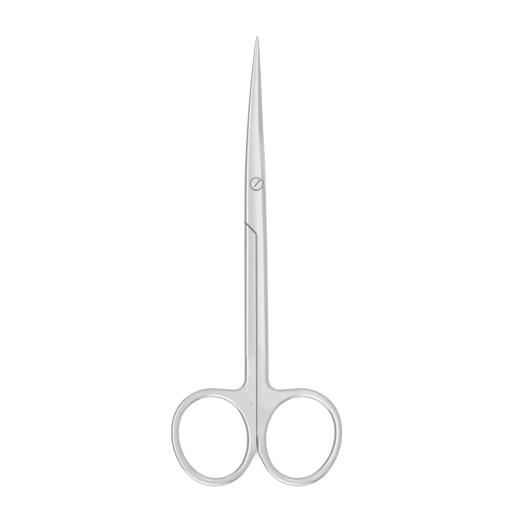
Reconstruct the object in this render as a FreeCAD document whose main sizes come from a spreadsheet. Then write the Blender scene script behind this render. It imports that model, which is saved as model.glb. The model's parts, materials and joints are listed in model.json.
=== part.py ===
import FreeCAD, Part
import math
import os
import Sketcher

# Slender suture scissors with two finger rings, 130 mm long. Two forged halves lap across each
# other at a slotted pivot screw. +Y runs to the tips, +X to the ring of the front half and +Z
# out of the front face; the pivot axis is the Z axis. Everything is drawn about the lap plane
# and then lifted, so that the crown of the back face lies on z = 0.
# The closed pair has one smooth outline. Each half is cut out of it along the lap plane, the
# slanting steps and the slit between the shanks, so the two halves always match. The cuts of
# the rear half are those of the front half turned over about the Y axis.

sizes = {
    # play between the blades on each side of the lap plane, slit between the shanks
    "lap_half": 0.02,
    "slit_half": 0.15,
    "slit_lean": 0.2,
    "slit_edge": 0.4,
    # slanting step where a half changes from full width to half width
    "step_foot": 14.55,
    "step_slant": 3.65,
    "step_gap": 0.4,
    "step_margin": 1.45,
    # point of the blades, and the last section beyond it
    "tip_end": 42.8,
    "tip_radius": 0.28,
    "tip_shift": 0.21,
    "tip_over": 0.4,
    # hollow grinding of the blades' inner faces
    "hollow_wheel": 40.0,
    "hollow_edge": 0.16,
    # finger ring: an egg of four arcs round a centre, with the hole's egg inside it. The ring's
    # place across is kept from the slit, and the hole's arcs are kept from the ring's.
    "ring_inset": 1.39,
    "ring_down": 72.66,
    "ring_lean": 80.4,
    "ring_up": 2.21,
    "ring_low": 3.59,
    "ring_up_radius": 11.65,
    "ring_low_radius": 11.04,
    "ring_side_radius": 17.88,
    "hole_lean": 77.5,
    "hole_up": 1.81,
    "hole_low": 3.66,
    "wall_up": 2.27,
    "wall_low": 2.55,
    "wall_side": 3.22,
    "hole_edge": 0.55,
    "back_edge": 0.64,
    # neck above the ring's upper arc, straight shank above the neck, crotch below the centre
    "neck_rise": 4.76,
    "neck_radius": 3.0,
    "shank_rise": 6.25,
    "crotch_drop": 4.54,
    # pivot screw: slotted head let into the front half, plain neck, threaded end that is
    # riveted into the back of the rear half
    "head_radius": 1.7,
    "head_play": 0.1,
    "head_sink": 0.03,
    "head_height": 0.91,
    "head_edge": 0.08,
    "bore_radius": 1.13,
    "bore_play": 0.03,
    "thread_radius": 1.0,
    "thread_play": 0.02,
    "rivet_flare": 0.35,
    # driver slot: open at the rim on one side, short of it on the other
    "slot_turn": 49.4,
    "slot_half": 0.17,
    "slot_depth": 0.4,
    "slot_short": 0.6,
    # small pressed test mark on the web of the rear half
    "mark_across": 1.56,
    "mark_rise": 9.36,
    "mark_turn": 115.0,
    "mark_half": 0.36,
    "mark_bend": 0.45,
    "mark_depth": 0.05,
}

# Sections of the closed pair from the neck to the tip: outline to the left and to the right,
# half thickness, rise of the crowned faces, and rounding of the edges. Ahead of the pivot the
# edge opposite the spine is ground: width of that bevel, height of its land, bend of its face.
section_fields = ("left", "right", "half", "crown", "round", "bevel", "land", "bend")
sections = {
    "neck": (3.5, 3.5, 1.75, 0.0, 1.1),
    "step": (3.57, 3.08, 1.85, 0.12, 1.15),
    "pivot": (3.58, 2.81, 1.85, 0.12, 1.15),
    "heel": (3.44, 2.61, 1.74, 0.11, 1.12, 1.25, 0.42, 2.2),
    "middle": (2.98, 2.02, 1.44, 0.09, 0.98, 1.35, 0.13, 8.0),
    "fore": (2.29, 1.57, 1.12, 0.06, 0.72, 1.13, 0.1, 8.0),
    "nose": (1.35, 1.13, 0.78, 0.03, 0.42, 0.72, 0.08, 6.0),
    "tip": (-0.04, 0.4, 0.45, 0.02, 0.14, 0.13, 0.06, 2.0),
}
blade_sections = list(sections)[1:]
for name, values in sections.items():
    for field, value in zip(section_fields, values):
        sizes[name + "_" + field] = value

# places along the slit: where the straight shank ends, where the neck's arc has its centre and
# where the two rings part
shank_end = "shank_rise + neck_rise + ring_up_radius - ring_down"
neck_place = "neck_rise + ring_up_radius - ring_down"
crotch_place = "- ring_down - crotch_drop"

# arcs of the ring's egg and of the hole's egg
ring_across = "slit_half + ring_inset + ring_low_radius"
egg_radii = {
    "ring": {"up": "ring_up_radius", "low": "ring_low_radius", "side": "ring_side_radius"},
    "hole": {
        "up": "ring_up_radius - wall_up",
        "low": "ring_low_radius - wall_low",
        "side": "ring_side_radius - wall_side",
    },
}

# outer faces of the screw: just under the crowns of the front and the back
front_face = "pivot_half + pivot_crown - head_sink"
back_face = "head_sink - pivot_half - pivot_crown"

os.makedirs("parts", exist_ok=True)
doc = FreeCAD.newDocument("SutureScissors")
sheet = doc.addObject("Spreadsheet::Sheet", "Sizes")
for line, (alias, value) in enumerate(sizes.items(), 1):
    sheet.set("A%d" % line, alias.replace("_", " "))
    sheet.set("B%d" % line, str(value))
    sheet.setAlias("B%d" % line, alias)
doc.recompute()


# Distances are written as sums of size names, such as "neck_right - neck_round".
def amount(words):
    """Number that a sum of sizes comes to."""
    total = 0.0
    sign = 1.0
    for word in words.split():
        if word in ("+", "-"):
            sign = 1.0 if word == "+" else -1.0
        else:
            total += sign * (sizes[word] if word in sizes else float(word))
            sign = 1.0
    return total


def cells(words):
    """Expression that reads a sum of sizes from the sheet."""
    return " ".join("Sizes." + word if word in sizes else word for word in words.split())


def spot(across, up):
    """Point of a sketch from two sums."""
    return FreeCAD.Vector(amount(across), amount(up), 0)


def toward(start, end, reach):
    """Point at a distance from the start, in the direction of the end."""
    return start.add(end.sub(start).normalize().multiply(reach))


def swung(angle, reach):
    """Arrow of a length at an angle in radians."""
    return FreeCAD.Vector(reach * math.cos(angle), reach * math.sin(angle), 0)


def new_sketch(body, name, plane, lift="0", turned=False):
    """Sketch on one of the body's own planes, lifted off it and perhaps turned over about Y."""
    sketch = body.newObject("Sketcher::SketchObject", name)
    sketch.AttachmentSupport = [
        (part, "") for part in body.Origin.OriginFeatures if part.Role == plane
    ]
    sketch.MapMode = "FlatFace"
    turn = FreeCAD.Rotation(FreeCAD.Vector(0, 1, 0), 180 if turned else 0)
    sketch.AttachmentOffset = FreeCAD.Placement(FreeCAD.Vector(), turn)
    sketch.setExpression("AttachmentOffset.Base.z", cells(lift))
    sketch.Visibility = False
    return sketch


def spin_sketch(sketch, across, up, angle):
    """Moves a sketch over its plane and turns it there."""
    sketch.AttachmentOffset = FreeCAD.Placement(
        FreeCAD.Vector(), FreeCAD.Rotation(FreeCAD.Vector(0, 0, 1), amount(angle))
    )
    sketch.setExpression("AttachmentOffset.Base.x", cells(across))
    sketch.setExpression("AttachmentOffset.Base.y", cells(up))
    sketch.setExpression("AttachmentOffset.Rotation.Angle", cells(angle))


def drive(sketch, kind, refs, words):
    """Constraint whose value follows the sheet."""
    value = math.radians(amount(words)) if kind == "Angle" else amount(words)
    index = sketch.addConstraint(Sketcher.Constraint(kind, *refs, value))
    sketch.setExpression("Constraints[%d]" % index, cells(words))


def pin(sketch, edge, end, across, up):
    """Holds a start (1), end (2) or centre (3) of an edge at its distances from the origin."""
    drive(sketch, "DistanceX", (-1, 1, edge, end), across)
    drive(sketch, "DistanceY", (-1, 1, edge, end), up)


def meet(sketch, kind, *pairs):
    """Joins the end of each first edge to the start of the second."""
    for first, second in pairs:
        sketch.addConstraint(Sketcher.Constraint(kind, first, 2, second, 1))


def loop(sketch, kind, first, count):
    """Joins a run of edges into a closed loop."""
    meet(sketch, kind, *[(first + k, first + (k + 1) % count) for k in range(count)])


def arc_about(centre, start, end):
    """Anticlockwise arc from start to end about a centre."""
    first = math.atan2(start.y - centre.y, start.x - centre.x)
    last = math.atan2(end.y - centre.y, end.x - centre.x)
    circle = Part.Circle(centre, FreeCAD.Vector(0, 0, 1), start.sub(centre).Length)
    return Part.ArcOfCircle(circle, first, last if last > first else last + 2 * math.pi)


def arc_between(start, end, radius):
    """Anticlockwise arc of less than half a turn between two points."""
    chord = end.sub(start)
    reach = math.sqrt(max(radius**2 - chord.Length**2 / 4, 0.0))
    inward = FreeCAD.Vector(-chord.y, chord.x, 0).normalize().multiply(reach)
    return arc_about(start.add(end).multiply(0.5).add(inward), start, end)


def polygon(sketch, corners):
    """Loop of straight edges through corners given as pairs of sums."""
    for index, corner in enumerate(corners):
        end = corners[(index + 1) % len(corners)]
        sketch.addGeometry(Part.LineSegment(spot(*corner), spot(*end)), False)
    loop(sketch, "Coincident", 0, len(corners))
    for index, corner in enumerate(corners):
        pin(sketch, index, 1, *corner)


def crown_rule(name):
    """Radius of a crowned face from its width and its rise, as a number and as a rule."""
    low = name + "bevel" if name + "bevel" in sizes else name + "round"
    wide = "%sleft + %sright - %sround - %s" % (name, name, name, low)
    rise = sizes[name + "crown"]
    rule = "((%s) ^ 2 / 4 + Sizes.%scrown ^ 2) / (2 * Sizes.%scrown)" % (cells(wide), name, name)
    return (amount(wide) ** 2 / 4 + rise**2) / (2 * rise), rule


def pair_section(body, station, along):
    """One section of the closed pair, at a place along it given by a rule of the sheet."""
    name = station + "_"
    half = name + "half"
    right = name + "right"
    left = "- " + name + "left"
    ground = name + "bevel" in sizes
    bevel = name + "bevel" if ground else name + "round"
    land = name + "land" if ground else "%s - %sround" % (half, name)
    land_back = "- " + name + "land" if ground else "%sround - %s" % (name, half)
    bend = name + "bend" if ground else name + "round"
    sketch = new_sketch(body, "Section_" + station, "XZ_Plane")
    sketch.setExpression("AttachmentOffset.Base.z", "-(%s)" % along)
    corners = [
        (right, "%sround - %s" % (name, half)),
        (right, land),
        ("%s - %s" % (right, bevel), half),
        ("%s + %sround" % (left, name), half),
        (left, "%s - %sround" % (half, name)),
        (left, land_back),
        ("%s + %s" % (left, bevel), "- " + half),
        ("%s - %sround" % (right, name), "- " + half),
    ]
    crowned = sizes[name + "crown"] > 0
    crown_radius, crown_words = crown_rule(name) if crowned else (0, "")
    radii = [0, amount(bend), crown_radius, amount(name + "round")] * 2
    for index, radius in enumerate(radii):
        ends = (spot(*corners[index]), spot(*corners[(index + 1) % 8]))
        edge = arc_between(*ends, radius) if radius else Part.LineSegment(*ends)
        sketch.addGeometry(edge, False)
    loop(sketch, "Coincident", 0, 8)
    for index, corner in enumerate(corners):
        pin(sketch, index, 1, *corner)
    for index in (1, 5):
        drive(sketch, "Radius", (index,), bend)
        drive(sketch, "Radius", (index + 2,), name + "round")
    for index in (2, 6) if crowned else ():
        spring = sketch.addConstraint(Sketcher.Constraint("Radius", index, crown_radius))
        sketch.setExpression("Constraints[%d]" % spring, crown_words)
    return sketch


def egg_centres(name):
    """Centres of an egg's upper, lower, outer and inner arcs."""
    middle = spot(ring_across, "- ring_down")
    lean = math.radians(sizes[name + "_lean"])
    upper = middle.add(swung(lean, sizes[name + "_up"]))
    lower = middle.sub(swung(lean, sizes[name + "_low"]))
    reach = amount(egg_radii[name]["side"])
    near = reach - amount(egg_radii[name]["up"])
    far = reach - amount(egg_radii[name]["low"])
    line = lower.sub(upper)
    along = (near**2 - far**2 + line.Length**2) / (2 * line.Length)
    away = math.sqrt(near**2 - along**2)
    foot = toward(upper, lower, along)
    square = FreeCAD.Vector(line.y, -line.x, 0).normalize().multiply(away)
    return upper, lower, foot.add(square), foot.sub(square)


def egg_axis(sketch, name, first, upper_arc, lower_arc):
    """Guide lines from the ring's centre that hold the centres of an egg's end arcs."""
    middle = spot(ring_across, "- ring_down")
    upper, lower = egg_centres(name)[:2]
    sketch.addGeometry(Part.LineSegment(middle, upper), True)
    sketch.addGeometry(Part.LineSegment(lower, middle), True)
    pin(sketch, first, 1, ring_across, "- ring_down")
    sketch.addConstraint(Sketcher.Constraint("Coincident", first + 1, 2, first, 1))
    sketch.addConstraint(Sketcher.Constraint("Coincident", first, 2, upper_arc, 3))
    sketch.addConstraint(Sketcher.Constraint("Coincident", first + 1, 1, lower_arc, 3))
    for line, reach in ((first, name + "_up"), (first + 1, name + "_low")):
        drive(sketch, "Distance", (line,), reach)
        drive(sketch, "Angle", (line,), name + "_lean")


def ring_sketch(body, turned):
    """Finger ring with its neck, web and crotch, running round from the top of the slit."""
    sketch = new_sketch(body, "RingOutline", "XY_Plane", "0", turned)
    upper, lower, outer = egg_centres("ring")[:3]
    upper_radius = sizes["ring_up_radius"]
    lower_radius = sizes["ring_low_radius"]
    side_radius = sizes["ring_side_radius"]
    neck = spot("neck_right + neck_radius", neck_place)
    neck_radius = sizes["neck_radius"]

    # the web's line touches the neck's arc from below and the ring's upper arc from above
    span = upper.sub(neck)
    lean = math.atan2(span.y, span.x) + math.asin((neck_radius + upper_radius) / span.Length)
    across = swung(lean + math.pi / 2, 1)
    web_ring = upper.add(across * upper_radius)
    web_neck = neck.sub(across * neck_radius)

    # the crotch's line leaves the slit and touches the ring's lower arc
    crotch = spot("slit_half", crotch_place)
    reach = lower.sub(crotch)
    swing = math.atan2(reach.y, reach.x) - math.asin(lower_radius / reach.Length)
    crotch_ring = crotch.add(swung(swing, math.sqrt(reach.Length**2 - lower_radius**2)))

    slit_top = spot("slit_half", shank_end)
    shank_top = spot("neck_right", shank_end)
    shank_low = spot("neck_right", neck_place)
    low_side = toward(outer, lower, side_radius)
    up_side = toward(outer, upper, side_radius)
    for edge in (
        Part.LineSegment(slit_top, crotch),
        Part.LineSegment(crotch, crotch_ring),
        arc_about(lower, crotch_ring, low_side),
        arc_about(outer, low_side, up_side),
        arc_about(upper, up_side, web_ring),
        Part.LineSegment(web_ring, web_neck),
        arc_about(neck, shank_low, web_neck),
        Part.LineSegment(shank_low, shank_top),
        Part.LineSegment(shank_top, slit_top),
    ):
        sketch.addGeometry(edge, False)
    meet(sketch, "Coincident", (0, 1), (7, 8), (8, 0))
    meet(sketch, "Tangent", (1, 2), (2, 3), (3, 4), (4, 5))
    sketch.addConstraint(Sketcher.Constraint("Tangent", 5, 2, 6, 2))
    sketch.addConstraint(Sketcher.Constraint("Tangent", 6, 1, 7, 1))
    egg_axis(sketch, "ring", 9, 4, 2)
    pin(sketch, 0, 1, "slit_half", shank_end)
    pin(sketch, 1, 1, "slit_half", crotch_place)
    pin(sketch, 7, 2, "neck_right", shank_end)
    pin(sketch, 6, 3, "neck_right + neck_radius", neck_place)
    drive(sketch, "Radius", (2,), "ring_low_radius")
    drive(sketch, "Radius", (3,), "ring_side_radius")
    drive(sketch, "Radius", (4,), "ring_up_radius")
    drive(sketch, "Radius", (6,), "neck_radius")
    return sketch


def hole_sketch(body, turned):
    """Finger hole: an egg of four arcs."""
    sketch = new_sketch(body, "HoleOutline", "XY_Plane", "0", turned)
    upper, lower, outer, inner = egg_centres("hole")
    side_radius = amount(egg_radii["hole"]["side"])
    low_outer = toward(outer, lower, side_radius)
    up_outer = toward(outer, upper, side_radius)
    up_inner = toward(inner, upper, side_radius)
    low_inner = toward(inner, lower, side_radius)
    sketch.addGeometry(arc_about(outer, low_outer, up_outer), False)
    sketch.addGeometry(arc_about(upper, up_outer, up_inner), False)
    sketch.addGeometry(arc_about(inner, up_inner, low_inner), False)
    sketch.addGeometry(arc_about(lower, low_inner, low_outer), False)
    loop(sketch, "Tangent", 0, 4)
    egg_axis(sketch, "hole", 4, 1, 3)
    for index, part in enumerate(("side", "up", "side", "low")):
        drive(sketch, "Radius", (index,), egg_radii["hole"][part])
    return sketch


def pocket(body, name, sketch, both=False):
    """Cut through everything behind a sketch, or on both sides of it."""
    cut = body.newObject("PartDesign::Pocket", name)
    cut.Profile = sketch
    cut.Type = "ThroughAll"
    cut.Midplane = both
    doc.recompute()


def shallow_pocket(body, name, sketch, depth):
    """Cut to a depth below a sketch."""
    cut = body.newObject("PartDesign::Pocket", name)
    cut.Profile = sketch
    cut.setExpression("Length", cells(depth))
    doc.recompute()


def loft(body, kind, name, profiles):
    """Smooth solid or cut through sections."""
    skin = body.newObject(kind, name)
    skin.Profile = profiles[0]
    skin.Sections = profiles[1:]
    doc.recompute()


def lathe(body, kind, name, sketch):
    """Full turn of an outline about the pivot axis, as metal or as a cut."""
    turned = body.newObject(kind, name)
    turned.Profile = sketch
    turned.ReferenceAxis = (sketch, ["V_Axis"])
    turned.Angle = 360
    doc.recompute()


def dress(body, kind, name, size, chosen):
    """Rounds or bevels the edges whose middle point and edge pass a test."""
    names = []
    for index, edge in enumerate(body.Shape.Edges, 1):
        middle = edge.valueAt((edge.FirstParameter + edge.LastParameter) / 2)
        if chosen(middle, edge):
            names.append("Edge%d" % index)
    base = body.Tip
    dressed = body.newObject("PartDesign::" + kind, name)
    dressed.Base = (base, names)
    dressed.setExpression("Radius" if kind == "Fillet" else "Size", cells(size))
    doc.recompute()


def on_face(middle):
    """Whether a point lies on the front or back face of a ring."""
    return abs(abs(middle.z) - sizes["neck_half"]) < 1e-6


def is_outer_edge(middle, edge):
    """Edges round the outside of a ring, from the crotch to the shank."""
    beside_slit = abs(abs(middle.x) - sizes["slit_half"]) < 1e-6
    across_top = abs(middle.y - amount(shank_end)) < 1e-6
    return on_face(middle) and not beside_slit and not across_top


def is_front_edge(middle, edge):
    """Outer edges of a ring's front face, which are rounded."""
    return is_outer_edge(middle, edge) and middle.z > 0


def is_back_edge(middle, edge):
    """Outer edges of a ring's back face, which are bevelled."""
    return is_outer_edge(middle, edge) and middle.z < 0


def is_hole_edge(middle, edge):
    """Edges round a finger hole."""
    radius = getattr(edge.Curve, "Radius", 0)
    radii = [amount(words) for words in egg_radii["hole"].values()]
    return on_face(middle) and min(abs(radius - each) for each in radii) < 1e-6


def is_slit_edge(middle, edge):
    """Long front and back edges along the slit, from the step to the crotch."""
    beside = abs(middle.x) < amount("slit_half + slit_lean")
    below = amount(crotch_place) < middle.y < amount("- step_foot")
    long_enough = edge.Length > amount("neck_half + neck_half")
    return beside and below and long_enough and abs(middle.z) > sizes["neck_half"] / 2


def blade_rule(index):
    """Place of a blade section: evenly spaced from below the step to beyond the point."""
    low = cells("- step_foot - step_margin")
    reach = cells("tip_end + tip_over + step_foot + step_margin")
    return "%s + (%s) * %d / %d" % (low, reach, index, len(blade_sections) - 1)


def forge_half(body, turned):
    """Ring, neck, shank and blade as one solid with the outline of the closed pair."""
    pad = body.newObject("PartDesign::Pad", "RingPad")
    pad.Profile = ring_sketch(body, turned)
    pad.Midplane = True
    pad.setExpression("Length", "2 * Sizes.neck_half")
    doc.recompute()
    dress(body, "Fillet", "RingRounding", "neck_round", is_front_edge)
    dress(body, "Chamfer", "RingBevel", "back_edge", is_back_edge)
    pocket(body, "FingerHole", hole_sketch(body, turned), both=True)
    dress(body, "Chamfer", "HoleEdges", "hole_edge", is_hole_edge)
    neck = pair_section(body, "neck", cells(shank_end))
    profiles = [
        pair_section(body, station, blade_rule(index))
        for index, station in enumerate(blade_sections)
    ]
    loft(body, "PartDesign::AdditiveLoft", "ShankLoft", [neck, profiles[0]])
    loft(body, "PartDesign::AdditiveLoft", "BladeLoft", profiles)


def part_halves(body, front):
    """Takes the other half away: beside the slit, and beyond the lap plane."""
    turned = not front
    wall = "slit_half - slit_lean" if front else "slit_half + slit_lean"
    far = "step_left + step_left"
    near = "- step_left - step_left"
    slit = new_sketch(body, "SlitCut", "XY_Plane", "0", turned)
    polygon(
        slit,
        [
            ("slit_half", shank_end + " - slit_edge"),
            ("slit_half", shank_end),
            (wall, "step_gap - step_foot"),
            (near, "step_gap - step_foot + step_slant + step_slant"),
            (near, shank_end + " - slit_edge"),
        ],
    )
    pocket(body, "SlitPocket", slit, both=True)
    lap = new_sketch(body, "LapCut", "XY_Plane", "lap_half" if front else "- lap_half", turned)
    polygon(
        lap,
        [
            (near, "- step_foot"),
            (wall, "- step_foot"),
            (far, "step_slant + step_slant - step_foot"),
            (far, "tip_end + tip_over + tip_over"),
            (near, "tip_end + tip_over + tip_over"),
        ],
    )
    pocket(body, "LapPocket", lap)


def round_point(body):
    """Cuts the point to a small radius."""
    base = "tip_end - tip_radius"
    beyond = "tip_end + tip_over + tip_over"
    corners = [
        ("tip_shift - tip_radius", base),
        ("- step_left", base),
        ("- step_left", beyond),
        ("step_left", beyond),
        ("step_left", base),
        ("tip_shift + tip_radius", base),
    ]
    sketch = new_sketch(body, "PointCut", "XY_Plane")
    ends = [spot(*corner) for corner in corners]
    sketch.addGeometry(arc_about(spot("tip_shift", base), ends[5], ends[0]), False)
    for start, end in zip(ends, ends[1:]):
        sketch.addGeometry(Part.LineSegment(start, end), False)
    loop(sketch, "Coincident", 0, 6)
    pin(sketch, 0, 3, "tip_shift", base)
    for index, corner in enumerate(corners[:5]):
        pin(sketch, index, 2, *corner)
    drive(sketch, "DistanceY", (-1, 1, 0, 1), base)
    pocket(body, "PointPocket", sketch, both=True)


def grind_hollow(body, front):
    """Hollow of the blade's inner face, as a wheel grinds it, so that only the edges touch."""
    face = "lap_half" if front else "- lap_half"
    profiles = []
    for index, station in enumerate(blade_sections):
        if station + "_bevel" not in sizes:
            continue
        sketch = new_sketch(body, "Hollow_" + station, "XZ_Plane")
        sketch.setExpression("AttachmentOffset.Base.z", "-(%s)" % blade_rule(index))
        left = ("hollow_edge - %s_left" % station, face)
        right = ("%s_right - hollow_edge" % station, face)
        start, end = (right, left) if front else (left, right)
        ends = (spot(*start), spot(*end))
        sketch.addGeometry(arc_between(*ends, sizes["hollow_wheel"]), False)
        sketch.addGeometry(Part.LineSegment(ends[1], ends[0]), False)
        loop(sketch, "Coincident", 0, 2)
        pin(sketch, 0, 1, *start)
        pin(sketch, 0, 2, *end)
        drive(sketch, "Radius", (0,), "hollow_wheel")
        profiles.append(sketch)
    loft(body, "PartDesign::SubtractiveLoft", "HollowGrind", profiles)


def bore_pivot(body, front):
    """Bore for the screw: seat of its head in the front half, thread in the rear half."""
    sketch = new_sketch(body, "BoreOutline", "XZ_Plane")
    rim = "head_radius + head_play"
    deep = "- pivot_half - pivot_half"
    if front:
        corners = [
            ("0", deep),
            ("bore_radius", deep),
            ("bore_radius", front_face + " - head_height - bore_play"),
            (rim, front_face + " - head_height - bore_play"),
            (rim, front_face + " - head_edge"),
            (rim + " + head_height", front_face + " - head_edge + head_height"),
            ("0", front_face + " - head_edge + head_height"),
        ]
    else:
        corners = [
            ("0", back_face + " - rivet_flare"),
            ("thread_radius + rivet_flare + rivet_flare", back_face + " - rivet_flare"),
            ("thread_radius", back_face + " + rivet_flare"),
            ("thread_radius", "pivot_half"),
            ("0", "pivot_half"),
        ]
    polygon(sketch, corners)
    lathe(body, "PartDesign::Groove", "PivotBore", sketch)


def make_half(label, front):
    """One half of the scissors."""
    body = doc.addObject("PartDesign::Body", label)
    body.Label = label
    forge_half(body, not front)
    part_halves(body, front)
    round_point(body)
    dress(body, "Fillet", "SlitRounding", "slit_edge", is_slit_edge)
    grind_hollow(body, front)
    bore_pivot(body, front)
    return body


def press_mark(body):
    """Small mark of a test on the web, pointed at both ends."""
    sketch = new_sketch(body, "MarkOutline", "XY_Plane", "neck_half")
    spin_sketch(sketch, "- mark_across", "mark_rise - ring_down", "mark_turn")
    ends = [("- mark_half", "0"), ("mark_half", "0")]
    for start, end in (ends, ends[::-1]):
        arc = arc_between(spot(*start), spot(*end), sizes["mark_bend"])
        sketch.addGeometry(arc, False)
    loop(sketch, "Coincident", 0, 2)
    for index, corner in enumerate(ends):
        pin(sketch, index, 1, *corner)
        drive(sketch, "Radius", (index,), "mark_bend")
    shallow_pocket(body, "TestMark", sketch, "mark_depth")


def make_screw():
    """Pivot screw, turned in one piece and slotted across its head."""
    body = doc.addObject("PartDesign::Body", "pivot_screw")
    body.Label = "pivot_screw"
    sketch = new_sketch(body, "ScrewOutline", "XZ_Plane")
    polygon(
        sketch,
        [
            ("0", back_face),
            ("thread_radius + rivet_flare - thread_play", back_face),
            ("thread_radius - thread_play", back_face + " + rivet_flare"),
            ("thread_radius - thread_play", "0"),
            ("bore_radius - bore_play", "0"),
            ("bore_radius - bore_play", front_face + " - head_height"),
            ("head_radius", front_face + " - head_height"),
            ("head_radius", front_face + " - head_edge"),
            ("head_radius - head_edge", front_face),
            ("0", front_face),
        ],
    )
    lathe(body, "PartDesign::Revolution", "ScrewTurned", sketch)
    slot = new_sketch(body, "SlotOutline", "XY_Plane", front_face)
    spin_sketch(slot, "0", "0", "slot_turn")
    polygon(
        slot,
        [
            ("slot_short - head_radius", "- slot_half"),
            ("head_radius + head_play", "- slot_half"),
            ("head_radius + head_play", "slot_half"),
            ("slot_short - head_radius", "slot_half"),
        ],
    )
    shallow_pocket(body, "DriverSlot", slot, "slot_depth")
    return body


front_half = make_half("front_half", True)
rear_half = make_half("rear_half", False)
press_mark(rear_half)
pivot_screw = make_screw()

# the lap plane is lifted so that the crown of the back face lies on z = 0
bodies = (front_half, rear_half, pivot_screw)
for body in bodies:
    body.setExpression("Placement.Base.z", cells("pivot_half + pivot_crown"))
doc.recompute()

for body in bodies:
    for item in [body] + body.Group:
        if "Invalid" in item.State or "Error" in item.State:
            raise ValueError("%s of %s: %s" % (item.Name, body.Label, item.State))
    shape = body.Shape
    if shape.isNull() or not shape.isValid() or len(shape.Solids) != 1:
        raise ValueError("%s is not one valid solid" % body.Label)
for body in bodies:
    body.Shape.exportStep("parts/%s.step" % body.Label)
    print(body.Label, "%.1f cubic mm" % body.Shape.Volume)
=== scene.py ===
import json
import math

import bmesh
import bpy
import numpy as np
from mathutils import Matrix, Vector

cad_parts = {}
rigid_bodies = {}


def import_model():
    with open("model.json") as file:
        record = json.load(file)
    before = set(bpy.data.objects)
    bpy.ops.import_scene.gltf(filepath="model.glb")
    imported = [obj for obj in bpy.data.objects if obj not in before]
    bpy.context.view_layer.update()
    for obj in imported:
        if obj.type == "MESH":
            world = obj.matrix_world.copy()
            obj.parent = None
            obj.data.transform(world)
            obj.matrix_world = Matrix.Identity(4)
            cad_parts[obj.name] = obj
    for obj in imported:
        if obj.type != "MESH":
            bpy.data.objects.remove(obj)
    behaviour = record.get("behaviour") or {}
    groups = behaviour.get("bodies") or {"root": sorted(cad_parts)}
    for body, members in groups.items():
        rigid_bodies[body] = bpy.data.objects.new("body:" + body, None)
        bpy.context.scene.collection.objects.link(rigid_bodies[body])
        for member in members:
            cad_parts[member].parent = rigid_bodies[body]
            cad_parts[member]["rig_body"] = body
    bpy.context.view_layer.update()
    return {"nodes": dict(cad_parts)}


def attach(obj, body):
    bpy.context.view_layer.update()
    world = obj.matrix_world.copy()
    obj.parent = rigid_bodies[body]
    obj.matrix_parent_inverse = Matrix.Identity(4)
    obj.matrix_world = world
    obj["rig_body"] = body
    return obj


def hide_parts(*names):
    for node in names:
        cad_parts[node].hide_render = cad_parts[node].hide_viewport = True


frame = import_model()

# Suture scissors in satin steel, 130 mm long, lying on a pale sheet and seen from straight above.
# The halves and the screw are built anew as even skins, so that light runs cleanly along them.
# Lengths are in mm until a piece is finished; +Y runs to the tips and z = 0 is the lap plane
# until the piece is lifted on to the sheet.

mm = 0.001
lift = 1.97  # from the lap plane down to the sheet

halves = {
    # cross-sections of the closed pair, as in the solid: width to the left and right, half
    # thickness, rise of the crowned faces, edge rounding; then the ground bevel's width and land
    "sections": {
        "neck": (3.5, 3.5, 1.75, 0.0, 1.05, 1.05, 1.0),
        "step": (3.57, 3.08, 1.85, 0.12, 1.25, 1.13, 1.05),
        "pivot": (3.58, 2.81, 1.85, 0.12, 1.2, 1.12, 0.9),
        "heel": (3.44, 2.61, 1.74, 0.07, 1.12, 1.3, 0.42),
        "middle": (2.98, 2.02, 1.44, 0.035, 0.98, 1.35, 0.13),
        "fore": (2.29, 1.57, 1.12, 0.035, 0.84, 1.13, 0.1),
        "nose": (1.35, 1.13, 0.74, 0.02, 0.68, 0.74, 0.08),
        "tip": (-0.02, 0.42, 0.3, 0.02, 0.32, 0.25, 0.08),
    },
    # places along the length; the crown grows over crownFade and the bevel is ground over bevelFade
    "along": {
        "neck": -50.0, "step": -16.0, "tip": 43.2, "end": 42.8, "crownFade": 5, "bevelFade": 24,
    },
    "wallMiddle": -0.1,  # height of a wall's widest line, in half thicknesses
    "point": {"radius": 0.28, "shift": 0.21, "full": 0.46},
    # the shank of the rear half is rounded over more, and its land fades into the rounding
    "rear": {"wider": 0.2, "over": 14, "landFrom": -10, "landOver": 6},
    "slit": {"half": 0.15, "lean": 0.12, "round": 0.36, "fade": 0.9, "swell": 0.13, "seamEnd": 8},
    "step": {"foot": -14.55, "gap": 0.4, "reach": 7.14, "rise": 7.3},
    # the lap plane's play, and the hollow that a wheel of this radius grinds between the edges
    "lap": {
        "play": 0.02, "wheel": 40.0, "edge": 0.16, "start": 3.7, "end": 43.0, "ease": 2.5,
        "clear": 0.002,
    },
    # finger ring: an egg of four arcs with the hole's egg inside it, its neck, web and crotch
    "egg": {
        "middle": (12.58, -72.66),
        "ring": {
            "lean": 80.4, "up": 2.21, "low": 3.59, "upR": 11.65, "lowR": 11.04, "sideR": 17.88,
        },
        "hole": {
            "lean": 77.5, "up": 1.81, "low": 3.66, "upR": 9.38, "lowR": 8.49, "sideR": 14.66,
        },
        "neck": (6.5, -56.25),
        "neckR": 3.0,
        "crotch": -77.2,
        "ringRound": 0.86,
        "roundFrom": 3,  # so far below the neck the edge starts to narrow to ringRound
        "roundOver": 14,
        "holeRound": 0.95,
        "holeSpread": 0.06,
        "holeSkew": 0.22,
        "crotchFront": (-70.0, -75.0),
        "crotchRear": (-76.3, -78.0),
    },
    "mark": {"place": (-1.56, -63.3), "turn": 115.0, "half": 0.5, "wide": 0.28, "deep": 0.2},
}
sections, along, wallMiddle, point, rear, slit, step, lap, egg, mark = halves.values()

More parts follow.
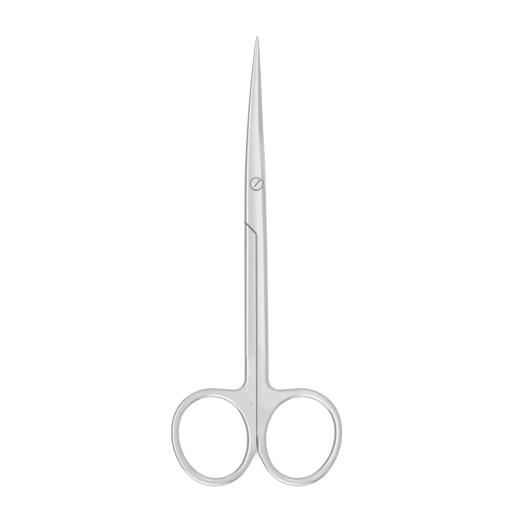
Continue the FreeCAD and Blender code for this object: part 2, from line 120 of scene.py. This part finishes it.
# Worn shoulder of an edge, from the wall (share 0) to the face (share 1) of its width: how deep it
# lies in widths. The slit's edges are only eased.
shoulder = (
    (0.0, 0.70), (0.015, 0.63), (0.05, 0.58), (0.2, 0.46), (0.45, 0.262), (0.53, 0.2),
    (0.58, 0.172), (0.74, 0.103), (0.88, 0.045), (0.96, 0.012), (1.0, 0.0),
)
eased = (0.17, 0.165, 0.15, 0.11, 0.06, 0.045, 0.035, 0.018, 0.007, 0.002, 0.0)


def smoothCurve(values):
    # natural cubic through evenly spaced values, read at a place counted in sections
    count = len(values)
    spread = np.eye(count)
    pull = np.zeros(count)
    for k in range(1, count - 1):
        spread[k, k - 1:k + 2] = 1, 4, 1
        pull[k] = 6 * (values[k + 1] - 2 * values[k] + values[k - 1])
    curl = np.linalg.solve(spread, pull)

    def at(place):
        k = min(int(place), count - 2)
        u = place - k
        v = 1 - u
        bow = ((v ** 3 - v) * curl[k] + (u ** 3 - u) * curl[k + 1]) / 6
        return float(v * values[k] + u * values[k + 1] + bow)
    return at


fields = ("left", "right", "half", "crown", "round", "bevel", "land")
bladeCurves = [smoothCurve(column[1:]) for column in zip(*sections.values())]


def ease(share):
    # from 0 to 1 without a kink
    share = min(max(share, 0.0), 1.0)
    return share * share * (3 - 2 * share)


def sectionAt(y, front):
    # measures of the section at a place, with the spine on the left of either half
    if y < along["step"]:
        share = (y - along["neck"]) / (along["step"] - along["neck"])
        pairs = zip(sections["neck"], sections["step"])
        s = dict(zip(fields, [a + (b - a) * share for a, b in pairs]))
        s["crown"] = sections["step"][3] * ease((y - along["neck"]) / along["crownFade"])
    else:
        place = (y - along["step"]) / (along["tip"] - along["step"]) * (len(sections) - 2)
        s = dict(zip(fields, [curve(place) for curve in bladeCurves]))
        # the last part of the blades is a little fuller than a straight taper
        share = max(place - len(sections) + 3, 0.0)
        for side in ("left", "right"):
            s[side] += point["full"] / 2 * share * (1 - share ** 4)
    # the edge opposite the spine is ground, and the pair is the same when it is turned over
    if not front:
        s["left"], s["right"] = s["right"], s["left"]
        s["bevel"] *= 1 + rear["wider"] * ease(-y / rear["over"])
        rounded = s["half"] - shoulder[0][1] * s["bevel"]
        s["land"] += (rounded - s["land"]) * ease(-(y - rear["landFrom"]) / rear["landOver"])
    # the point is rounded, and each half's point lies a little to its own side
    base = along["end"] - point["radius"]
    if y > base:
        # never thinner than a hair
        reach = math.sqrt(max(point["radius"] ** 2 - (y - base) ** 2, 0.0004))
        shift = point["shift"] if front else -point["shift"]
        s["left"] = min(s["left"], reach - shift)
        s["right"] = min(s["right"], reach + shift)
    # towards the point the two edges take up at most nine tenths of the width
    width = s["left"] + s["right"]
    shrink = min(1.0, 0.9 * width / (s["round"] + s["bevel"]))
    s["round"] *= shrink
    s["bevel"] *= shrink
    return s


def edgeRun(across, full=1.0, depth=None):
    # steps of an edge from its wall to its face: how far in from the wall, how deep below the face
    run = []
    for (inward, deep), light in zip(shoulder, eased):
        sink = (light + (deep - light) * full) * across
        if depth is not None:
            ground = 1.0 - inward
            sink = depth * (ground + (deep / shoulder[0][1] - ground) * full)
        run.append((inward * across, sink))
    return run


def crownAt(s, x):
    # height of the crowned front face
    low, high = s["round"] - s["left"], s["right"] - s["bevel"]
    middle, reach = (low + high) / 2, (high - low) / 2
    return s["half"] + s["crown"] * (1 - ((x - middle) / reach) ** 2)


def wallAt(y, front):
    # where the half's wall along the slit stands, and ahead of the step the seam of its two skins
    lean = -slit["lean"] if front else slit["lean"]
    top = step["foot"] + step["gap"]
    share = (y - along["neck"]) / (top - along["neck"])
    wall = slit["half"] + lean * min(share, 1.0)
    if y > top:
        s = sectionAt(y, front)
        middle = (s["right"] - s["bevel"] + s["round"] - s["left"]) / 2
        wall += (middle - wall) * ease((y - top) / (along["end"] - slit["seamEnd"] - top))
    return wall


def spaced(start, end, count):
    # evenly spaced values, both ends among them
    return [start + (end - start) * k / count for k in range(count + 1)]


def rightChain(y, front):
    # section of the side that runs down to the ring, from the slit over the front and round
    s = sectionAt(y, front)
    wall = wallAt(y, front)
    top = step["foot"] + step["gap"]
    edge = slit["round"] * ease((top - y) / slit["fade"])
    low = wall + edge
    high = s["right"] - s["bevel"]
    mid = wallMiddle * s["half"]
    slitFront = [(wall + u, crownAt(s, low) - d) for u, d in edgeRun(edge, 0.0)]
    crown = [(x, crownAt(s, x)) for x in spaced(low, high, 8)[1:]]
    ground = ease((y - along["step"]) / along["bevelFade"])
    # the walls swell towards each other, so that no light comes up through the slit; the swell
    # ends close below the step
    swell = slit["swell"] * ease(5 * (top - y) / slit["fade"])
    bevel = [
        (s["right"] - u, s["half"] - d)
        for u, d in reversed(edgeRun(s["bevel"], 1 - ground, s["half"] - s["land"])[:-1])
    ]
    under = s["right"] - s["round"]
    back = [(s["right"], mid)]
    back += [(s["right"] - u, d - s["half"]) for u, d in edgeRun(s["round"])]

    def floorAt(x):
        left = s["bevel"] - s["left"]
        share = (x - (left + under) / 2) / ((under - left) / 2)
        return -s["half"] - s["crown"] * (1 - share ** 2)
    back += [(x, floorAt(x)) for x in spaced(under, low, 8)[1:]]
    slitBack = [(wall + u, floorAt(low) + d) for u, d in reversed(edgeRun(edge, 0.0)[:-1])]
    chain = slitFront + crown + bevel + back + slitBack + [(wall - swell, mid)]
    return [Vector((x, y, z)) for x, z in chain]


def leftChain(y, front):
    # section of the spine side ahead of the step, from the slit's line to the left and under
    s = sectionAt(y, front)
    wall = wallAt(y, front)
    mid = wallMiddle * s["half"]
    low = s["round"] - s["left"]
    chain = [(x, crownAt(s, x)) for x in spaced(wall, low, 8)]
    chain += [
        (u - s["left"], s["half"] - d) for u, d in reversed(edgeRun(s["round"])[:-1])
    ]
    chain += [(-s["left"], mid), (wall, mid)]
    return [Vector((x, y, z)) for x, z in chain]


def skin(mesh, rows, closed=False):
    # quads between rows of points
    made = [[mesh.verts.new(p) for p in row] for row in rows]
    faces = []
    for one, two in zip(made, made[1:]):
        count = len(one) if closed else len(one) - 1
        for k in range(count):
            n = (k + 1) % len(one)
            faces.append(mesh.faces.new((one[k], one[n], two[n], two[k])))
    return made, faces


def eggCentres(name):
    # centres of the upper, lower, outer and inner arcs
    e = egg[name]
    middle = Vector(egg["middle"])
    lean = math.radians(e["lean"])
    arrow = Vector((math.cos(lean), math.sin(lean)))
    upper, lower = middle + arrow * e["up"], middle - arrow * e["low"]
    near, far = e["sideR"] - e["upR"], e["sideR"] - e["lowR"]
    line = lower - upper
    reach = (near ** 2 - far ** 2 + line.length_squared) / (2 * line.length)
    foot = upper + line.normalized() * reach
    square = Vector((line.y, -line.x)).normalized() * math.sqrt(near ** 2 - reach ** 2)
    return upper, lower, foot + square, foot - square


def arcRun(centre, radius, start, end, side):
    # points and outward arrows of an arc between two angles
    count = max(2, int(abs(end - start) / math.radians(3.5)))
    run = []
    for k in range(count + 1):
        a = start + (end - start) * k / count
        arrow = Vector((math.cos(a), math.sin(a)))
        run.append((centre + arrow * radius, arrow * side))
    return run


def lineRun(start, end, count):
    # points along a straight side, with its outward arrow
    line = end - start
    arrow = Vector((line.y, -line.x)).normalized()
    return [(start + line * k / count, arrow) for k in range(count + 1)]


def angleOf(v):
    return math.atan2(v.y, v.x)


def ringOutline():
    # outside of the ring from the slit, round the crotch and the egg, up to the shank
    upper, lower, outer = eggCentres("ring")[:3]
    e = egg["ring"]
    neck = Vector(egg["neck"])
    span = upper - neck
    lean = angleOf(span) + math.asin((egg["neckR"] + e["upR"]) / span.length)
    across = Vector((math.cos(lean + math.pi / 2), math.sin(lean + math.pi / 2)))
    webRing, webNeck = upper + across * e["upR"], neck - across * egg["neckR"]
    crotch = Vector((slit["half"], egg["crotch"]))
    reach = lower - crotch
    swing = angleOf(reach) - math.asin(e["lowR"] / reach.length)
    tangent = math.sqrt(reach.length_squared - e["lowR"] ** 2)
    crotchRing = crotch + Vector((math.cos(swing), math.sin(swing))) * tangent
    up, low = angleOf(upper - outer), angleOf(lower - outer)
    slitLine = lineRun(Vector((slit["half"], along["neck"])), crotch, 24)
    crotchLine = lineRun(crotch, crotchRing, 8)
    corner = (slitLine[-1][1] + crotchLine[0][1]).normalized()
    corner /= corner.dot(slitLine[-1][1])
    turn = 2 * math.pi
    run = slitLine[:-1] + [(crotch, corner)] + crotchLine[1:-1]
    run += arcRun(lower, e["lowR"], angleOf(crotchRing - lower), low, 1)[:-1]
    run += arcRun(outer, e["sideR"], low, up, 1)[:-1]
    run += arcRun(upper, e["upR"], up, angleOf(webRing - upper), 1)[:-1]
    run += lineRun(webRing, webNeck, 2)[:-1]
    webAngle = angleOf(webNeck - neck) % turn
    run += arcRun(neck, egg["neckR"], webAngle, math.pi, -1)[:-1]
    top = Vector((neck.x - egg["neckR"], along["neck"]))
    run += lineRun(Vector((top.x, neck.y)), top, 3)
    return run


def holeOutline():
    # the finger hole's egg, with arrows into the hole
    upper, lower, outer, inner = eggCentres("hole")
    e = egg["hole"]
    up, low = angleOf(upper - outer), angleOf(lower - outer)
    upIn, lowIn = angleOf(upper - inner), angleOf(lower - inner)
    turn = 2 * math.pi
    run = arcRun(outer, e["sideR"], low, up, -1)[:-1]
    run += arcRun(upper, e["upR"], up, upIn % turn, -1)[:-1]
    run += arcRun(inner, e["sideR"], upIn % turn, lowIn % turn, -1)[:-1]
    run += arcRun(lower, e["lowR"], lowIn % turn, low + turn, -1)[:-1]
    return run


def edgeColumn(place, arrow, edge, half, full=1.0, swell=0.0, skew=0.0):
    # edge of the ring's plate at one place, from its front face round to its back face
    run = [(place - arrow * u, half - d) for u, d in edgeRun(edge + skew, full)]
    column = [Vector((flat.x, flat.y, z)) for flat, z in reversed(run)]
    run = [(place - arrow * u, half - d) for u, d in edgeRun(edge - skew, full)]
    belly = place + arrow * swell
    column.append(Vector((belly.x, belly.y, wallMiddle * half)))
    return column + [Vector((flat.x, flat.y, -z)) for flat, z in run]


def crotchShare(y, front):
    # how far the slit's eased edge has grown into the ring's shoulder, sooner on the front half
    high, low = egg["crotchFront"] if front else egg["crotchRear"]
    return ease((high - y) / (high - low))


def solidOf(name, build):
    # an object whose mesh is filled by a function
    data = bpy.data.meshes.new(name)
    mesh = bmesh.new()
    build(mesh)
    bmesh.ops.recalc_face_normals(mesh, faces=mesh.faces)
    mesh.to_mesh(data)
    mesh.free()
    thing = bpy.data.objects.new(name, data)
    bpy.context.scene.collection.objects.link(thing)
    return thing


def cutAway(thing, cutters):
    # takes the cutters out of a piece and drops them
    for cutter in cutters:
        cut = thing.modifiers.new("cut", "BOOLEAN")
        cut.operation = "DIFFERENCE"
        cut.solver = "MANIFOLD"
        cut.object = cutter
    graph = bpy.context.evaluated_depsgraph_get()
    graph.update()
    data = bpy.data.meshes.new_from_object(thing.evaluated_get(graph))
    thing.modifiers.clear()
    thing.data = data
    for cutter in cutters:
        bpy.data.objects.remove(cutter)


def halfSkin(mesh, front):
    # closed skin of one half: shank and blade, then the ring, sewn together at the neck
    top = step["foot"] + step["gap"]
    wall = wallAt(top, front)
    low = along["neck"]
    # rows stand closer at the step and where the point is rounded
    places = spaced(low, along["step"], 17)[:-1] + [along["step"], -15.5, -15.05]
    places += spaced(top - slit["fade"] / 2, top, 4) + spaced(top, 42.0, 60)[1:]
    places += [42.2, 42.4, 42.52, 42.6, 42.68, 42.74, 42.78, along["end"]]
    places = sorted(set(round(y, 5) for y in places))
    # side with the shank: open along the slit's line ahead of the step
    rows = [rightChain(y, front) for y in places]
    made = skin(mesh, rows)[0]
    for one, two in zip(made, made[1:]):
        if two[0].co.y <= top + 1e-4:
            mesh.faces.new((one[-1], one[0], two[0], two[-1]))
    # spine side, cut off along the step
    ahead = [y for y in places if y >= top - 1e-4]
    spine, faces = skin(mesh, [leftChain(y, front) for y in ahead])
    slope = Vector((wall + step["reach"], -step["rise"], 0)).normalized()
    outward = Vector((slope.y, -slope.x, 0))
    geometry = [v for row in spine for v in row] + faces
    geometry += list({edge for face in faces for edge in face.edges})
    bmesh.ops.bisect_plane(
        mesh, geom=geometry, dist=1e-5, plane_co=(wall, top, 0), plane_no=outward,
        clear_outer=True,
    )
    # ring: rounded edges round its outline and its hole, then its flat faces
    half = sections["neck"][2]
    columns = []
    for place, arrow in ringOutline():
        full = sections["neck"][4] * (1 if front else 1 + rear["wider"])
        fallen = along["neck"] - egg["roundFrom"] - place.y
        full += (egg["ringRound"] - full) * ease(fallen / egg["roundOver"])
        # the wall along the slit, down to the crotch, has the slit's own edge and swell
        beside = place.x < slit["half"] + 2.5 and arrow.x < -0.5
        share = crotchShare(place.y, front) if beside else 1.0
        edge = slit["round"] + (full - slit["round"]) * share
        swell = slit["swell"] * ease((place.y - egg["crotch"]) / 2) if beside else 0.0
        columns.append(edgeColumn(place, arrow, edge, half, share, swell))
    skin(mesh, columns)
    # the hole's edge is ground a little askew, and wider towards the hand
    hole = []
    for place, arrow in holeOutline():
        edge = egg["holeRound"] + egg["holeSpread"] * arrow.y
        hole.append(edgeColumn(place, arrow, edge, half, skew=-egg["holeSkew"] * arrow.x))
    skin(mesh, hole + hole[:1])
    bmesh.ops.remove_doubles(mesh, verts=mesh.verts, dist=2e-4)
    for side in (1, -1):
        rim = [
            edge for edge in mesh.edges
            if edge.is_boundary and all(
                abs(v.co.z - side * half) < 1e-4 and v.co.y < low + 1e-4 for v in edge.verts
            )
        ]
        bmesh.ops.triangle_fill(mesh, use_beauty=True, edges=rim)
    bmesh.ops.holes_fill(mesh, edges=[e for e in mesh.edges if e.is_boundary], sides=0)


def lapCutter(mesh, front):
    # everything behind the lap plane ahead of the step, to well past the tips and the back face
    wall = wallAt(step["foot"], front)
    far = step["reach"]
    foot = step["foot"]
    play = lap["play"]
    plan = [(-far, foot), (wall, foot), (far, foot + step["rise"]), (far, 50), (-far, 50)]
    corners = [mesh.verts.new((x, y, play)) for x, y in plan]
    face = mesh.faces.new(corners)
    deep = bmesh.ops.extrude_face_region(mesh, geom=[face], use_keep_orig=True)
    moved = [v for v in deep["geom"] if isinstance(v, bmesh.types.BMVert)]
    bmesh.ops.translate(mesh, verts=moved, vec=(0, 0, -6))


def hollowCutter(mesh, front):
    # hollow that the wheel grinds into the inner face, so that only the edges touch
    rows = []
    for y in spaced(lap["start"], lap["end"], 40):
        s = sectionAt(min(y, lap["end"] - 0.5), front)
        low, high = lap["edge"] - s["left"], s["right"] - lap["edge"]
        middle, reach = (low + high) / 2, (high - low) / 2
        depth = reach ** 2 / (2 * lap["wheel"]) * ease((y - lap["start"]) / lap["ease"])
        row = [
            (x, lap["play"] + depth * (1 - ((x - middle) / reach) ** 2) - lap["clear"])
            for x in spaced(low, high, 10)
        ]
        row += [(high, lap["play"] - 0.4), (low, lap["play"] - 0.4)]
        rows.append([Vector((x, y, z)) for x, z in row])
    made = skin(mesh, rows, closed=True)[0]
    for row in (made[0], made[-1]):
        mesh.faces.new(row)


def spun(profile):
    # fills a mesh with a profile of radius and height turned round the pivot's axis
    def build(mesh):
        points = [mesh.verts.new((r, 0, z)) for r, z in profile]
        edges = [mesh.edges.new(pair) for pair in zip(points, points[1:])]
        bmesh.ops.spin(
            mesh, geom=points + edges, cent=(0, 0, 0), axis=(0, 0, 1), steps=64,
            angle=2 * math.pi, use_merge=True, use_duplicate=False,
        )
        bmesh.ops.remove_doubles(mesh, verts=mesh.verts, dist=1e-4)
    return build


screw = {
    "head": 1.72, "play": 0.08, "sink": 0.03, "height": 0.91, "edge": 0.08, "neck": 1.1,
    "bore": 1.13, "thread": 1.0, "threadPlay": 0.02, "flare": 0.35, "countersink": 0.2,
    "slot": {"turn": 49.4, "half": 0.15, "deep": 0.4, "short": 0.6},
}
slot = screw["slot"]
faceZ = sections["pivot"][2] + sections["pivot"][3] - screw["sink"]
seat = faceZ - screw["height"]

# bores as radius and height, from below the back face to past the front face; the rear half is
# cut face down, so that its front is the flared end of the thread
below, past = -5, 0.9
rim = screw["head"] + screw["play"]
mouth = faceZ - screw["countersink"]
boreFront = [
    (0, below), (screw["bore"], below), (screw["bore"], seat), (rim, seat), (rim, mouth),
    (rim + past, mouth + past), (0, mouth + past),
]
threadBore = screw["thread"] + screw["threadPlay"]
boreRear = [
    (0, below), (threadBore, below), (threadBore, faceZ - screw["flare"]),
    (screw["thread"] + 2 * screw["flare"], faceZ + screw["flare"]), (0, faceZ + screw["flare"]),
]


def markCutter(mesh):
    # small pressed test mark on the web, as it lies in the turned rear half
    bmesh.ops.create_uvsphere(mesh, u_segments=24, v_segments=12, radius=1.0)
    bmesh.ops.scale(mesh, verts=mesh.verts, vec=(mark["half"], mark["wide"], mark["deep"]))
    turn = Matrix.Rotation(math.radians(180 - mark["turn"]), 3, "Z")
    bmesh.ops.rotate(mesh, verts=mesh.verts, matrix=turn)
    across, up = mark["place"]
    bmesh.ops.translate(mesh, verts=mesh.verts, vec=(-across, up, -sections["neck"][2]))


# where a face takes a darker finish: the slanting steps beside the lap, the bore and the slot are
# rougher and painted dark as shade in these gaps, and the lap faces a little darker as shade
# between the blades
shadedSeams = {
    "beside": 3.6, "from": -16, "to": -5, "roundBore": 0.2, "slotReach": 0.3, "lapReach": 0.0015,
}


def finish(thing, node, material, turned=False, sharpAngle=32):
    # lifts a piece on to the sheet, sets its soft and sharp edges and hangs it in its place
    thing.data.materials.clear()
    for finishOfFace in (material, inside, lapFinishAndShade):
        thing.data.materials.append(finishOfFace)
    mesh = bmesh.new()
    mesh.from_mesh(thing.data)
    if turned:
        bmesh.ops.rotate(mesh, verts=mesh.verts, matrix=Matrix.Rotation(math.pi, 3, "Y"))
    bmesh.ops.translate(mesh, verts=mesh.verts, vec=(0, 0, lift))
    bmesh.ops.scale(mesh, verts=mesh.verts, vec=(mm, mm, mm))
    bmesh.ops.dissolve_degenerate(mesh, edges=mesh.edges, dist=1e-7)
    bmesh.ops.recalc_face_normals(mesh, faces=mesh.faces)
    # edges are sharp where they are steep, and round the ring's flat faces
    flats = {face for face in mesh.faces if abs(face.normal.z) > 0.99999}
    for edge in mesh.edges:
        soft = edge.calc_face_angle(0) < math.radians(sharpAngle)
        rimOfFlat = len(flats.intersection(edge.link_faces)) == 1
        onRing = edge.verts[0].co.y < (along["neck"] - 0.1) * mm
        edge.smooth = soft and not (rimOfFlat and onRing)
    for face in mesh.faces:
        face.smooth = True
        middle = face.calc_center_median() / mm
        height = middle.z - lift
        out = middle.xy.length
        level, steep = abs(face.normal.z) > 0.99, abs(face.normal.z) < 0.8
        slanted = abs(face.normal.x) > 0.5 and abs(face.normal.y) > 0.5
        beside = abs(middle.x) < shadedSeams["beside"] and shadedSeams["from"] < middle.y < shadedSeams["to"]
        inBore = out < rim + shadedSeams["roundBore"]
        inSlot = out < screw["head"] and abs(height - faceZ + slot["deep"]) < shadedSeams["slotReach"]
        # the steps, bore and slot take the dark seam steel, whose colour is painted shade in these
        # recesses
        if inSlot or steep and (slanted and beside or inBore):
            face.material_index = 1
        # the lap faces take the duller lap steel, a little darker as painted shade between the
        # blades
        elif level and abs(abs(height) - lap["play"]) < shadedSeams["lapReach"]:
            face.material_index = 2
    print(node, "open edges", sum(not e.is_manifold for e in mesh.edges), "faces", len(mesh.faces))
    mesh.to_mesh(thing.data)
    mesh.free()
    weigh = thing.modifiers.new("weigh", "WEIGHTED_NORMAL")
    weigh.mode = "FACE_AREA"
    weigh.weight = 50
    weigh.keep_sharp = True
    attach(thing, frame["nodes"][node]["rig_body"])
    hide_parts(node)


def linearColour(hexCode):
    # sRGB hex to the linear values that the shader wants
    out = []
    for k in (0, 2, 4):
        c = int(hexCode[k:k + 2], 16) / 255
        out.append(c / 12.92 if c <= 0.04045 else ((c + 0.055) / 1.055) ** 2.4)
    return out + [1.0]


def addNode(material, kind, settings, links):
    # a shader node with its settings, and links from (node, output) to its inputs
    node = material.node_tree.nodes.new(kind)
    for key, value in settings.items():
        if hasattr(node, key):
            setattr(node, key, value)
        else:
            node.inputs[key].default_value = value
    for key, (source, output) in links.items():
        material.node_tree.links.new(source.outputs[output], node.inputs[key])
    return node


# lengths in mm; the grain is drawn out along the piece, and coarser than the real one, which is
# too fine to show in the render
steel = {"drawnOut": 0.12, "wave": 7.0, "waveDeep": 0.1, "grainDeep": 0.0012, "uneven": 0.03}


def metal(name, hexCode, roughness, grain):
    # steel with a fine grain along its length and a slow waviness from the hand that ground it
    material = bpy.data.materials.new(name)
    material.use_nodes = True
    shader = material.node_tree.nodes["Principled BSDF"]
    shader.inputs["Base Color"].default_value = linearColour(hexCode)
    shader.inputs["Metallic"].default_value = 1.0
    place = addNode(material, "ShaderNodeTexCoord", {}, {})
    drawn = addNode(
        material, "ShaderNodeMapping", {"Scale": (1.0, steel["drawnOut"], 1.0)},
        {"Vector": (place, "Object")},
    )
    fine = addNode(
        material, "ShaderNodeTexNoise", {"Scale": 1 / (grain * mm), "Detail": 3.0},
        {"Vector": (drawn, "Vector")},
    )
    slow = addNode(
        material, "ShaderNodeTexNoise", {"Scale": 1 / (steel["wave"] * mm), "Detail": 1.0},
        {"Vector": (place, "Object")},
    )
    low, high = roughness - steel["uneven"], roughness + steel["uneven"]
    sheen = addNode(
        material, "ShaderNodeMapRange", {"To Min": low, "To Max": high}, {"Value": (fine, "Fac")},
    )
    scratches = addNode(
        material, "ShaderNodeBump", {"Strength": 1.0, "Distance": steel["grainDeep"] * mm},
        {"Height": (fine, "Fac")},
    )
    waves = addNode(
        material, "ShaderNodeBump", {"Strength": 1.0, "Distance": steel["waveDeep"] * mm},
        {"Height": (slow, "Fac"), "Normal": (scratches, "Normal")},
    )
    links = material.node_tree.links
    links.new(sheen.outputs["Result"], shader.inputs["Roughness"])
    links.new(waves.outputs["Normal"], shader.inputs["Normal"])
    return material


# fine-polished stainless steel with a satin glow: soft even greys with clear bright edges
satin = metal("satinStainless", "C2C2C2", 0.2, 0.18)
# unpolished, rougher walls of the steps, the bores and the slot; their dark grey is painted shade
# in these gaps, so that they read as dark lines
inside = metal("seamPaintedShade", "757575", 0.5, 0.1)
# faces that lap over each other, ground but never polished: an even, duller grey, its colour a
# little darker as painted shade between the blades
lapFinishAndShade = metal("groundLapAndShade", "B4B4B3", 0.5, 0.12)
print("steels made")

for node, front, profile in (("front_half", True, boreFront), ("rear_half", False, boreRear)):
    dressed = solidOf(node + "_dressed", lambda mesh: halfSkin(mesh, front))
    cutters = [
        solidOf("lapCutter", lambda mesh: lapCutter(mesh, front)),
        solidOf("hollowCutter", lambda mesh: hollowCutter(mesh, front)),
        solidOf("boreCutter", spun(profile)),
    ]
    if not front:
        cutters.append(solidOf("markCutter", markCutter))
    cutAway(dressed, cutters)
    finish(dressed, node, satin, turned=not front)
print("both halves made")

# the screw from its riveted, flared end up through the plain neck to the head
pin = [
    (0, -faceZ), (screw["thread"] + screw["flare"], -faceZ),
    (screw["thread"], screw["flare"] - faceZ), (screw["thread"], 0), (screw["neck"], 0),
    (screw["neck"], seat), (screw["head"], seat), (screw["head"], faceZ - screw["edge"]),
    (screw["head"] - screw["edge"], faceZ), (0, faceZ),
]


def slotCutter(mesh):
    # driver slot, open at the rim on one side and short of it on the other
    bmesh.ops.create_cube(mesh, size=1.0)
    start, end = slot["short"] - screw["head"], 2 * screw["head"]
    size = (end - start, 2 * slot["half"], 2 * slot["deep"])
    bmesh.ops.scale(mesh, verts=mesh.verts, vec=size)
    bmesh.ops.translate(mesh, verts=mesh.verts, vec=((start + end) / 2, 0, faceZ))
    turn = Matrix.Rotation(math.radians(slot["turn"]), 3, "Z")
    bmesh.ops.rotate(mesh, verts=mesh.verts, matrix=turn)


pivotScrew = solidOf("pivot_screw_dressed", spun(pin))
cutAway(pivotScrew, [solidOf("slotCutter", slotCutter)])
finish(pivotScrew, "pivot_screw", satin)
print("screw made")

# the photograph: how many mm a pixel is, its size in pixels and where the pivot is in it
shot = {"pixel": 0.2882, "size": 512, "pivot": (256.6, 183.9), "height": 500}
camera = bpy.data.objects.new("camera", bpy.data.cameras.new("camera"))
bpy.context.scene.collection.objects.link(camera)
bpy.context.scene.camera = camera
pixel = shot["pixel"] * mm
centre = shot["size"] / 2
across, down = shot["pivot"]
camera.data.type = "ORTHO"
camera.data.ortho_scale = shot["size"] * pixel
camera.location = ((centre - across) * pixel, (down - centre) * pixel, shot["height"] * mm)
camera.data.clip_end = 5

# matt white sheet that glows a little, so that the ground stays as white as the photograph's
sheet = {"drop": 0.2, "colour": 0.9, "roughness": 0.9, "glow": 0.35}
floor = bpy.data.meshes.new("floor")
plane = bmesh.new()
bmesh.ops.create_grid(plane, x_segments=1, y_segments=1, size=1.0)
bmesh.ops.translate(plane, verts=plane.verts, vec=(0, 0, -sheet["drop"] * mm))
plane.to_mesh(floor)
plane.free()
floorObject = bpy.data.objects.new("floor", floor)
bpy.context.scene.collection.objects.link(floorObject)
paper = bpy.data.materials.new("paper")
paper.use_nodes = True
sockets = paper.node_tree.nodes["Principled BSDF"].inputs
sockets["Base Color"].default_value = [sheet["colour"]] * 3 + [1]
sockets["Roughness"].default_value = sheet["roughness"]
sockets["Emission Color"].default_value = (1, 1, 1, 1)
sockets["Emission Strength"].default_value = sheet["glow"]
floor.materials.append(paper)
print("camera and floor made")


def panel(name, azimuth, tilt, wide, deep, glow, distance=3.0, middleY=-0.022):
    # soft panel of a given radiance; wide and deep are the angles that it spans
    light = bpy.data.lights.new(name, "AREA")
    light.shape = "RECTANGLE"
    light.size = 2 * distance * math.tan(math.radians(deep) / 2)
    light.size_y = 2 * distance * math.tan(math.radians(wide) / 2)
    light.energy = glow * math.pi * light.size * light.size_y
    lamp = bpy.data.objects.new(name, light)
    turn = Matrix.Rotation(math.radians(azimuth), 4, "Z")
    lean = Matrix.Rotation(math.radians(tilt), 4, "Y")
    middle = Matrix.Translation((0, middleY, 0))
    lamp.matrix_world = middle @ turn @ lean @ Matrix.Translation((0, 0, distance))
    bpy.context.scene.collection.objects.link(lamp)


# name, direction, tilt off the vertical, angle across, angle towards the horizon, radiance; the
# steel mirrors them: the overhead ones in the flats, the strips in the bright lines of the edges
panel("overhead", 0, 11.0, 52, 25, 0.97, 0.35, 0.1)
panel("overheadNear", 0, 13.5, 42, 21.5, 0.95, 0.35, -0.205)
panel("besideLeft", 180, 18.5, 80, 34, 0.53, 0.35)
panel("stripLeft", 180, 46, 80, 14, 1.4)
panel("right", 0, 55, 90, 60, 0.33)
panel("away", 90, 60, 80, 36, 0.46)
panel("near", -105, 62, 70, 32, 0.85)
panel("stripCorner", -106, 46, 32, 14, 0.9)
roomGrey = 0.58
world = bpy.data.worlds.new("room")
bpy.context.scene.world = world
world.use_nodes = True
world.node_tree.nodes["Background"].inputs["Color"].default_value = [roomGrey] * 3 + [1]
bpy.context.scene.view_settings.view_transform = "Standard"
print("lights made")
